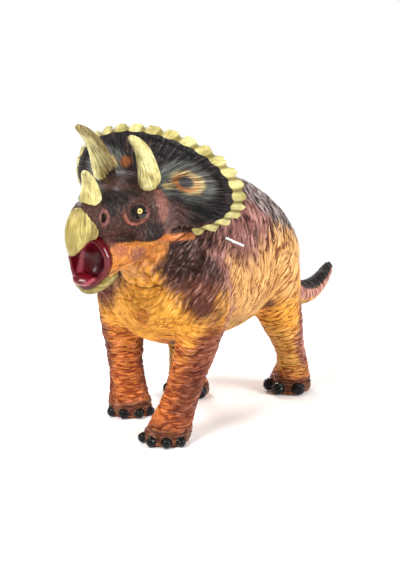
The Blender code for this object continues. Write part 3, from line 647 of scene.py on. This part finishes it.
def tail_height(skin):
    """-1 on the underside of the tail and 1 on its top."""
    steps = np.arange(38.0, 126.0, 2.0)
    row = np.clip(((skin.y - 38.0) / 2.0).astype(int), 0, len(steps) - 1)
    low = np.full(len(steps), np.inf)
    high = np.full(len(steps), -np.inf)
    on_tail = skin.y > 44.0
    np.minimum.at(low, row[on_tail], skin.z[on_tail])
    np.maximum.at(high, row[on_tail], skin.z[on_tail])
    found = np.isfinite(low)
    low = np.interp(skin.y, steps[found] + 1.0, low[found])
    high = np.interp(skin.y, steps[found] + 1.0, high[found])
    return (skin.z - (low + high) / 2.0) / ((high - low) / 2.0)


def skin_coats(skin, grain):
    """The colour at each point, coat over coat: airbrushed paint, with painted shade and painted highlights
    among the coats.
    """
    points, y, z, side = skin.points, skin.y, skin.z, skin.side
    mirrored = np.stack((side, y, z), axis=1)
    cloud = layered(points / 14.0, 3, 41)
    coats = Coats(len(points), (255, 178, 64), grain)
    body = (1.0 - skin.leg) * (1.0 - skin.tail)
    coats.spray(body * blend(12.0, 26.0, side) * blend(-52.0, -38.0, y), (240, 182, 108), 0.15)
    clouds = 0.6 * blend(0.0, 1.0, cloud) * blend(-46.0, -60.0, y) * blend(90.0, 70.0, z)
    coats.spray(clouds, (222, 134, 50), 0.3)
    upper = blend(-17.0, 15.0, z - np.clip(84.0 + 0.45 * (y + 12.0), 80.0, 93.0) + 4.0 * cloud)
    coats.spray(upper * body, (160, 104, 94), 0.25)
    shoulder = blend(-36.0, -50.0, y) * blend(50.0, 80.0, z + 4.0 * cloud)
    coats.spray(shoulder * blend(3.0, 18.0, side), (108, 62, 52), 0.2)
    deepest = blend(-44.0, -60.0, y) * blend(64.0, 82.0, z) * blend(6.0, 16.0, side)
    coats.spray(deepest, (60, 33, 26), 0.2)
    coats.spray(spot(mirrored, (28.0, -60.0, 64.0), (18.0, 18.0, 20.0), 1.0), (102, 54, 38), 0.25)
    # A painted highlight: a pale mauve strip down the body behind the shoulders.
    shoulder_highlight = gauss(y + 46.0 - 0.12 * (77.0 - z), 0.0, 6.0) * blend(34.0, 50.0, z) * blend(98.0, 82.0, z)
    coats.spray(0.75 * shoulder_highlight * blend(18.0, 28.0, side), (190, 132, 120), 0.35)
    hollows = (((27.0, -1.0, 52.0), (10.0, 11.0, 7.0)), ((26.0, -40.0, 46.0), (9.0, 8.0, 8.0)))
    for middle, radii in hollows:
        coats.spray(0.9 * spot(mirrored, middle, radii, 1.0), (112, 62, 42), 0.4)
    lay_leg_coats(coats, skin, cloud)
    lay_tail_coats(coats, skin)
    coats.spray(back_mask(skin), (116, 98, 94), 0.2)
    lay_head_coats(coats, skin)
    return coats.colour


def lay_leg_coats(coats, skin, cloud):
    shade = skin.leg_shade + 2.0 * cloud
    fore = skin.leg * blend(-20.0, -30.0, skin.y - 0.2 * skin.z)
    coats.spray(0.8 * skin.leg * blend(0.1, 1.0, cloud), (222, 128, 52), 0.2)
    hind = skin.leg * blend(-22.0, -12.0, skin.y - 0.2 * skin.z)
    coats.spray(hind * blend(46.0, 30.0, skin.z), (244, 178, 84), 0.3)
    coats.spray(fore * blend(66.0, 20.0, skin.z), (216, 118, 48), 0.15)
    # Painted shade: brown and mauve on the legs' rear and outer sides.
    coats.spray(fore * blend(-10.0, 0.0, shade), (136, 66, 36), 0.2)
    coats.spray(skin.leg * blend(1.0, 9.0, shade) * blend(6.0, 18.0, skin.z), (158, 92, 68), 0.25)
    # A painted highlight: pale pink along the rear and outer edge of each leg.
    coats.spray(skin.leg * blend(6.0, 12.0, shade) * blend(12.0, 22.0, skin.z), (208, 150, 142), 0.3)
    coats.spray(blend(16.0, 5.0, skin.z + 3.0 * cloud), (176, 92, 44), 0.2)
    coats.spray(blend(10.5, 5.0, skin.z + 2.0 * cloud) * blend(1.0, 2.4, skin.z), (118, 68, 42), 0.2)
    coats.spray(blend(1.4, 0.7, skin.z), (206, 120, 54), 0.0)


def lay_tail_coats(coats, skin):
    height = tail_height(skin)
    coats.spray(skin.tail, (236, 178, 100), 0.2)
    coats.spray(skin.tail * blend(-0.65, -0.25, height), (216, 156, 138), 0.4)
    top = skin.tail * blend(0.10, 0.60, height)
    coats.spray(top, (92, 80, 79), 0.4)
    coats.spray(top * blend(50.0, 78.0, skin.y), (38, 36, 38), 0.4)


def lay_head_coats(coats, skin):
    """Throat, jaw, cheek, snout and brow, eyes and nostrils, then the frill with its patches."""
    mirrored = skin.mirrored
    front = skin.frill_front
    throat = blend(14.0, 6.0, skin.head_y) * blend(-30.0, -18.0, skin.head_z)
    throat = throat * blend(-44.0, -52.0, skin.y)
    throat *= 1.0 - blend(-3.0, 4.0, skin.head_y) * blend(6.0, 12.0, skin.side)
    coats.spray(throat, (232, 148, 64), 0.3)
    coats.spray(spot(mirrored, (12.0, -14.0, -18.0), (10.0, 12.0, 6.5), 0.9), (164, 100, 76), 0.5)
    coats.spray(skin.face * blend(-12.2, -11.2, skin.head_z), (72, 45, 38), 0.1)
    coats.spray(spot(mirrored, (9.0, -31.0, -10.0), (9.0, 10.0, 7.0), 0.9), (132, 86, 78), 0.3)
    coats.spray(spot(mirrored, (12.0, -26.0, -14.0), (8.0, 9.0, 5.0), 0.8), (208, 124, 80), 0.3)
    coats.spray(stroke(mirrored, (17.0, -5.0, 8.0), (17.5, -2.5, -9.0), 8.0), (156, 104, 90), 0.2)
    corner = spot(mirrored, (16.0, -8.5, -8.0), (11.0, 12.0, 8.0), 0.7)
    coats.spray(corner * blend(-12.4, -11.4, skin.head_z), (30, 18, 16), 0.3)
    coats.spray(spot(mirrored, (6.5, -28.5, 8.0), (10.0, 10.0, 6.5), 0.6), (22, 17, 18), 0.4)
    coats.spray(spot(mirrored, (7.9, -32.0, 3.8), (4.0, 4.5, 4.5), 0.8), (28, 21, 22), 0.3)
    coats.spray(spot(mirrored, (12.0, -20.0, 10.5), (9.0, 10.0, 5.0), 0.8), (30, 22, 23), 0.4)
    coats.spray(spot(mirrored, (6.0, -12.0, 15.0), (12.0, 8.0, 5.0), 0.8), (44, 30, 29), 0.5)
    # A painted highlight: a pale grey streak on top of the snout, between the horns.
    coats.spray(spot(mirrored, (4.0, -23.0, 12.5), (5.0, 3.0, 3.0), 0.9), (128, 116, 118), 0.6)
    coats.spray(spot(mirrored, EYE, (8.5, 8.5, 8.0), 0.8), (84, 48, 38), 0.3)
    lid = gauss(np.linalg.norm(mirrored - EYE, axis=1), 6.9, 0.8)
    coats.spray(lid * blend(1.0, -3.0, skin.head_z - EYE[2]), (168, 98, 76), 0.1)
    coats.spray(spot(mirrored, EYE_SOCKET, (5.4, 5.6, 5.0), 0.5), (12, 9, 10), 0.1)
    coats.spray(spot(mirrored, NOSTRIL, (4.2, 4.0, 5.0), 0.6), (150, 94, 84), 0.2)
    coats.spray(spot(mirrored, NOSTRIL, (2.1, 2.1, 2.9), 0.4), (20, 10, 11), 0.0)
    coats.spray(blend(-7.0, 4.0, skin.head_y) * blend(0.3, 0.9, front), (20, 18, 20), 0.5)
    root = spot(mirrored, (16.5, 2.0, -3.0), (15.0, 16.0, 15.0), 1.0)
    coats.spray(1.3 * root * blend(0.0, 0.4, front), (118, 90, 86), 0.5)
    coats.spray(stroke(mirrored, (16.0, -3.0, -11.2), (23.5, 14.0, -11.4), 2.7), (214, 122, 54), 0.2)
    x, z = skin.head_side - 21.4, skin.head_z - 13.8
    ring = np.hypot((0.97 * x - 0.22 * z) / 7.9, (0.22 * x + 0.97 * z) / 5.1)
    coats.spray(gauss(ring, 1.25, 0.5) * front * 0.9, (98, 102, 98), 0.12)
    above = spot(mirrored, (13.0, 1.0, 17.5), (6.0, 8.0, 5.0), 1.0)
    coats.spray(above * front * 0.8, (106, 108, 104), 0.2)
    ring = ring + 0.10 * noise(skin.local / 3.0, 81)
    outward = 0.5 + 0.5 * np.cos(np.arctan2(z, x) - 0.9)
    coats.spray(blend(1.3, 0.75, ring) * front * (0.45 + 0.55 * outward), (214, 194, 138), 0.25)
    coats.spray(spot(mirrored, (14.0, 3.0, 11.3), (4.5, 6.0, 2.4), 0.9) * front, (196, 174, 120), 0.2)
    coats.spray(spot(skin.local, (-9.4, 2.9, 17.7), (5.0, 5.0, 4.0), 0.9) * front, (178, 104, 54), 0.3)
    coats.spray(gauss(ring, 0.62, 0.22) * front * (0.85 - 0.45 * outward), (200, 126, 68), 0.1)
    coats.spray(blend(0.70, 0.25, ring) * front, (78, 76, 78), 0.1)


def streaks(tree, scale, detail):
    """One grain that follows the folds, whichever field is the stronger."""
    parts = {name: tree.noise(tree.scaled(tree.attribute(name + "_flow", True), (1.0 / scale, 1.0, 1.0)),
                              1.0, detail, 0.6, 0.3)
             for name in ("fan", "neck", "limb", "tail", "face", "frill")}
    grain = parts["fan"]
    for share, name in (("neck", "neck"), ("leg", "limb"), ("tail", "tail"), ("face", "face"),
                        ("frill_front", "frill")):
        grain = tree.new("Mix", {0: tree.attribute(share), 2: grain, 3: parts[name]}).outputs[0]
    return grain


def skin_paint():
    """The coats, with a painted highlight on the ridges of the folds and painted shade in their creases, in
    the chest's wrinkles and between the rim's knobs.
    """
    tree = Nodes("painted_vinyl", 0.42, Specular_IOR_Level=0.22)
    grain = streaks(tree, 0.62, 3.0)
    crease = tree.between(tree.math("ABSOLUTE", tree.math("SUBTRACT", grain, 0.5)), 0.0, 0.07)
    fine = tree.noise(tree.place(), 1100.0, 2.0)
    mottle = tree.noise(tree.place(), 110.0, 3.0)
    fold = tree.attribute("fold")
    hair = tree.between(grain, 0.36, 0.64)
    tone = tree.math("MULTIPLY_ADD", hair, 0.55, tree.times(fold, 0.45))
    colour = tree.attribute("coat", True)
    colour = tree.mix(tree.between(mottle, 0.35, 0.65), tree.mix(0.12, colour, (0.0, 0.0, 0.0, 1.0)), colour)
    # Painted shade in the creases of the folds and a painted highlight on their ridges, both strongest on
    # the upper flanks, shoulders and back.
    fold_shading = tree.mix(tree.attribute("fold_shading"), rgb(160, 120, 104), rgb(86, 52, 50))
    dark = tree.mix(1.0, colour, fold_shading, "MULTIPLY")
    gleam = tree.mix(tree.attribute("fold_shading"), rgb(96, 78, 66), rgb(128, 102, 98))
    light = tree.mix(1.0, colour, gleam, "SCREEN")
    # The painted highlight on the ridges, weaker on the face and the frill's front.
    dull = tree.math("MAXIMUM", tree.attribute("face"), tree.attribute("frill_front"))
    lift = tree.times(tree.between(tone, 0.62, 1.0), tree.math("MULTIPLY_ADD", dull, -0.65, 0.85))
    colour = tree.mix(lift, colour, light)
    # The painted shade in the creases, weaker on the chest and throat.
    sink = tree.math("MULTIPLY_ADD", tree.attribute("sleek"), -0.5, 1.0)
    colour = tree.mix(tree.times(tree.between(tone, 0.64, 0.26), sink), colour, dark)
    # Painted shade in the grooves of the chest's wrinkles.
    wrinkle_shade = tree.times(tree.between(tree.attribute("wrinkle"), 0.55, 0.0), 0.6)
    colour = tree.mix(wrinkle_shade, colour, tree.mix(1.0, colour, rgb(150, 92, 62), "MULTIPLY"))
    # The painted highlight on the ridges of the back and the tail's top.
    pale_ridge_highlight = tree.times(tree.attribute("pale_ridge_highlight"), tree.between(tone, 0.62, 0.95))
    colour = tree.mix(tree.times(pale_ridge_highlight, 0.65), colour, rgb(178, 168, 166))
    colour = tree.mix(tree.between(tree.attribute("neck_gap"), 0.45, 0.10), colour, rgb(58, 28, 16))
    bone = tree.mix(tree.between(mottle, 0.32, 0.66), rgb(176, 162, 94), rgb(222, 212, 142))
    # Painted shade between the rim's knobs: darker olive in the valleys.
    bone = tree.mix(tree.between(tree.attribute("knob_valley_shade"), 0.45, 1.15), bone, rgb(112, 96, 42))
    colour = tree.mix(tree.between(tree.attribute("rim"), -0.006, 0.006), colour, bone)
    nail = tree.between(tree.attribute("nail"), 0.16, 0.08)
    colour = tree.mix(nail, colour, rgb(12, 11, 12))
    height = tree.math("ADD", tree.times(crease, 0.6), tree.times(fine, 0.10))
    height = tree.times(height, tree.math("SUBTRACT", 1.0, nail))
    rough = tree.math("MULTIPLY_ADD", mottle, 0.16, 0.36)
    rough = tree.times(rough, tree.math("MULTIPLY_ADD", nail, -0.6, 1.0))
    tree.tree.links.new(rough, tree.shader.inputs["Roughness"])
    return tree.finish(colour, height, 1.0, 0.40)


# The pieces set into the head

def drooped(points):
    """The upper beak with a higher crown and lower corners at the sides."""
    local = in_head(points)
    top = local[:, 2].max()
    crown = blend(top - 8.0, top, local[:, 2])
    back = local[:, 1].max()
    corner = blend(back - 6.0, back, local[:, 1]) * blend(top - 8.0, top - 14.0, local[:, 2])
    local = local + crown[:, None] * (0.0, 0.2, 1.3) + corner[:, None] * (0.0, 0.4, -1.2)
    return HEAD + local @ head_axes().T


def make_horn(name, finish, grooves, depth):
    """A horn or a beak with grooves along its length."""
    mesh = voxel_mesh(name + "_skin", (name,), HORN_VOXEL)
    points, edges = mesh_arrays(mesh)
    points = relaxed(points, edges, 8, 0.5)
    if name == "upper_beak":
        points = drooped(points)
    set_points(mesh, points)
    middle = points.mean(axis=0)
    axis = np.linalg.svd(points[::7] - middle, full_matrices=False)[2][0]
    along = (points - middle) @ axis
    around = points - middle - along[:, None] * axis
    around /= np.linalg.norm(around, axis=1)[:, None] + 1e-6
    flow = around * grooves + (along / 22.0)[:, None] * axis
    groove = creased(flow * 1.4, 51)
    set_points(mesh, points + mesh_normals(mesh) * (depth * (groove - 0.7))[:, None])
    store(mesh, "flow", flow)
    store(mesh, "groove", groove)
    normals = mesh_normals(mesh) @ head_axes()
    # Painted shade: darker on the brow horns' sides towards the midline and under the nose horn and beaks,
    # with random patches and darker tips.
    inner = -np.sign(in_head(middle)[0]) * normals[:, 0] if "brow" in name else -0.6 * normals[:, 2]
    tip = blend(0.72, 1.0, np.abs(along) / np.abs(along).max()) * (points[:, 2] > middle[2])
    store(mesh, "shade", 0.36 + 0.7 * inner + 0.35 * layered(points / 6.0, 2, 61) + 0.5 * tip)
    add_piece(name + "_skin", mesh, finish, (name,))


def horn_paint(name, low, high, groove_dark, shade_dark):
    """Mottled yellow between two colours, with brown grooves and painted shade: darker on the brow horns'
    inner sides and under the other pieces, in random streaks and towards the tips.
    """
    tree = Nodes(name, 0.42, Specular_IOR_Level=0.3)
    flow = tree.attribute("flow", True)
    grain = tree.noise(flow, 3.0, 3.0, 0.6, 0.3)
    mottle = tree.noise(tree.place(), 160.0, 3.0)
    colour = tree.mix(tree.between(mottle, 0.35, 0.65), rgb(*low), rgb(*high))
    colour = tree.mix(tree.times(tree.between(grain, 0.55, 0.38), 0.6), colour, rgb(134, 118, 58))
    groove = tree.between(tree.attribute("groove"), 0.65, 0.1)
    colour = tree.mix(tree.times(groove, groove_dark), colour, rgb(104, 86, 44))
    # Painted shade, streaked along the grain.
    shaded_side = tree.between(tree.attribute("shade"), 0.25, 1.0)
    shade_streaks = tree.times(shaded_side, tree.between(grain, 0.85, 0.35))
    colour = tree.mix(tree.times(shade_streaks, shade_dark), colour, rgb(96, 74, 40))
    return tree.finish(colour, grain, 0.6, 0.4)


def make_mouth():
    """The liner with a thick lip that rolls over the jaw's edge."""
    mesh = voxel_mesh("mouth_liner_skin", ("mouth_liner",), MOUTH_VOXEL)
    points, edges = mesh_arrays(mesh)
    points = relaxed(points, edges, 4, 0.5)
    local = in_head(points)
    lip_plane = -30.0 + 0.23 * (local[:, 2] + 10.6)
    lip = blend(4.5, 1.0, local[:, 1] - lip_plane)
    middle = np.array((0.0, 0.0, -20.5))
    away = (local - middle) * (1.0, 0.0, 1.0)
    lower = blend(-22.0, -31.0, local[:, 2]) * lip
    rolled = local + away * (0.13, 0.0, 0.05) * lip[:, None] + lower[:, None] * (0.0, -2.4, -0.9)
    points = HEAD + rolled @ head_axes().T
    set_points(mesh, points)
    store(mesh, "ring", np.hypot(away[:, 0] / 8.0, away[:, 2] / 11.5))
    store(mesh, "deep", blend(2.0, 9.0, local[:, 1] - lip_plane))
    add_piece("mouth_liner_skin", mesh, mouth_paint(), ("mouth_liner",))


def mouth_paint():
    """Glossy crimson with painted shade in its depth, where it is also duller, and a pink painted highlight
    along the inner ridge.
    """
    tree = Nodes("mouth_gloss", 0.2, Specular_IOR_Level=0.35)
    mottle = tree.noise(tree.place(), 160.0, 2.0)
    colour = tree.mix(mottle, rgb(70, 5, 15), rgb(108, 9, 24))
    # Painted shade: darker crimson in the depth of the mouth.
    colour = tree.mix(tree.attribute("deep"), colour, tree.mix(mottle, rgb(40, 2, 10), rgb(66, 6, 18)))
    # A painted highlight: a pink line along the inner ridge round the tongue.
    tongue_rim_highlight = tree.times(tree.between(tree.attribute("ring"), 0.62, 0.72),
                     tree.between(tree.attribute("ring"), 0.82, 0.74))
    colour = tree.mix(tree.times(tongue_rim_highlight, 0.5), colour, rgb(190, 92, 104))
    rough = tree.math("MULTIPLY_ADD", tree.attribute("deep"), 0.3, 0.18)
    tree.tree.links.new(rough, tree.shader.inputs["Roughness"])
    return tree.finish(colour, mottle, 0.15, 0.3)


def make_eye(name, mark, finish):
    """An eyeball that knows how far each point is from the iris and from the socket."""
    mesh = voxel_mesh(name + "_skin", (name,), EYE_VOXEL)
    points, edges = mesh_arrays(mesh)
    points = relaxed(points, edges, 10, 0.5)
    set_points(mesh, points)
    local = in_head(points)
    store(mesh, "iris", np.linalg.norm(local - mark, axis=1))
    store(mesh, "socket", np.linalg.norm(local - mark - (EYE_SOCKET - EYE), axis=1))
    add_piece(name + "_skin", mesh, finish, (name,))


def eye_paint():
    """Glossy black with a yellow ring, brown where the eyeball meets the lids."""
    tree = Nodes("eye_gloss", 0.07)
    mottle = tree.noise(tree.place(), 900.0, 2.0)
    away = tree.math("ADD", tree.attribute("iris"), tree.times(mottle, 0.12))
    colour = tree.mix(mottle, rgb(8, 7, 8), rgb(20, 16, 14))
    ring = tree.times(tree.between(away, 0.50, 0.62), tree.between(away, 1.34, 1.22))
    iris = tree.mix(tree.between(away, 0.7, 1.2), rgb(250, 226, 130), rgb(222, 160, 60))
    colour = tree.mix(ring, colour, iris)
    lid = tree.between(tree.attribute("socket"), 3.7, 4.2)
    return tree.finish(tree.mix(lid, colour, rgb(112, 66, 56)))


def tag_paint():
    """The tag pin's white nylon."""
    tree = Nodes("tag_nylon", 0.35, Subsurface_Weight=0.15)
    mottle = tree.noise(tree.place(), 700.0, 2.0)
    return tree.finish(tree.mix(mottle, rgb(232, 232, 232), rgb(250, 250, 250)), mottle, 0.15, 0.1)


make_skin()
horn_yellow = horn_paint("horn_vinyl", (192, 178, 108), (236, 228, 166), 0.75, 0.95)
for horn in HORNS:
    make_horn(horn, horn_yellow, 3.2, 0.28)
beak_yellow = horn_paint("beak_vinyl", (150, 132, 70), (196, 180, 106), 0.85, 0.8)
for beak in BEAKS:
    make_horn(beak, beak_yellow, 4.6, 0.22)
make_mouth()
eye_black = eye_paint()
make_eye("left_eye", EYE, eye_black)
make_eye("right_eye", EYE * (-1.0, 1.0, 1.0), eye_black)
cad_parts["tag_pin"].material_slots[0].material = tag_paint()


# Stage: a pale floor, soft lamps and the camera. Lengths are in metres here.

def stage():
    """A white floor that keeps the shadow near the object and fades into a white backdrop."""
    floor_shape = bpy.data.meshes.new("floor")
    reach = 3.0
    corners = [(-reach, -reach, 0.0), (reach, -reach, 0.0), (reach, reach, 0.0), (-reach, reach, 0.0)]
    floor_shape.from_pydata(corners, [], [(0, 1, 2, 3)])
    floor = bpy.data.objects.new("floor", floor_shape)
    bpy.context.scene.collection.objects.link(floor)
    tree = Nodes("floor_white", 0.9)
    tree.shader.inputs["Base Color"].default_value = (0.93, 0.93, 0.93, 1.0)
    away = tree.new("VectorMath", {0: tree.place()}, operation="LENGTH").outputs["Value"]
    seen = tree.new("LightPath", {}).outputs["Is Camera Ray"]
    far = tree.times(tree.between(away, 0.13, 0.30), seen)
    glow = tree.new("Emission", {"Color": (1.0, 1.0, 1.0, 1.0), "Strength": 1.0}).outputs[0]
    surface = tree.new("MixShader", {0: far, 1: tree.shader.outputs[0], 2: glow}).outputs[0]
    tree.tree.links.new(surface, tree.tree.nodes["Material Output"].inputs["Surface"])
    floor_shape.materials.append(tree.material)
    world = bpy.data.worlds.new("studio")
    bpy.context.scene.world = world
    world.use_nodes = True
    nodes, links = world.node_tree.nodes, world.node_tree.links
    backdrop = nodes["Background"]
    backdrop.inputs["Color"].default_value = (1.0, 1.0, 1.0, 1.0)
    path = nodes.new("ShaderNodeLightPath")
    level = nodes.new("ShaderNodeMix")
    level.inputs[2].default_value = 0.48
    level.inputs[3].default_value = 1.0
    links.new(path.outputs["Is Camera Ray"], level.inputs[0])
    links.new(level.outputs[0], backdrop.inputs["Strength"])


def lamp(name, place, size, power, aim):
    """A round soft lamp at a place, turned towards its aim."""
    data = bpy.data.lights.new(name, "AREA")
    data.shape = "DISK"
    data.size = size
    data.energy = power
    item = bpy.data.objects.new(name, data)
    item.location = place
    item.rotation_euler = (Vector(aim) - Vector(place)).to_track_quat("-Z", "Y").to_euler()
    bpy.context.scene.collection.objects.link(item)


CAMERA_AZIMUTH = 32.0
CAMERA_ELEVATION = 12.0
CAMERA_DISTANCE = 0.600
CAMERA_TARGET = Vector((0.02562, -0.06001, 0.0720))


def camera():
    """The photo's camera, level across and turned towards its target."""
    data = bpy.data.cameras.new("camera")
    data.sensor_fit = "AUTO"
    data.sensor_width = 36.0
    data.lens = 84.21
    data.clip_start = 0.01
    item = bpy.data.objects.new("camera", data)
    bpy.context.scene.collection.objects.link(item)
    turn = math.radians(CAMERA_AZIMUTH)
    rise = math.radians(CAMERA_ELEVATION)
    back = Vector((math.sin(turn) * math.cos(rise), -math.cos(turn) * math.cos(rise), math.sin(rise)))
    item.location = CAMERA_TARGET + back * CAMERA_DISTANCE
    item.rotation_euler = back.to_track_quat("Z", "Y").to_euler()
    bpy.context.scene.camera = item


stage()
lamp("key", (-0.05, -0.80, 0.70), 0.45, 10.5, (0.0, -0.03, 0.06))
lamp("side", (0.85, 0.10, 0.45), 0.4, 7.5, (0.0, 0.0, 0.06))
lamp("rim", (-0.60, 0.45, 0.60), 0.4, 6.0, (0.0, 0.0, 0.06))
camera()
bpy.context.scene.view_settings.view_transform = "Standard"
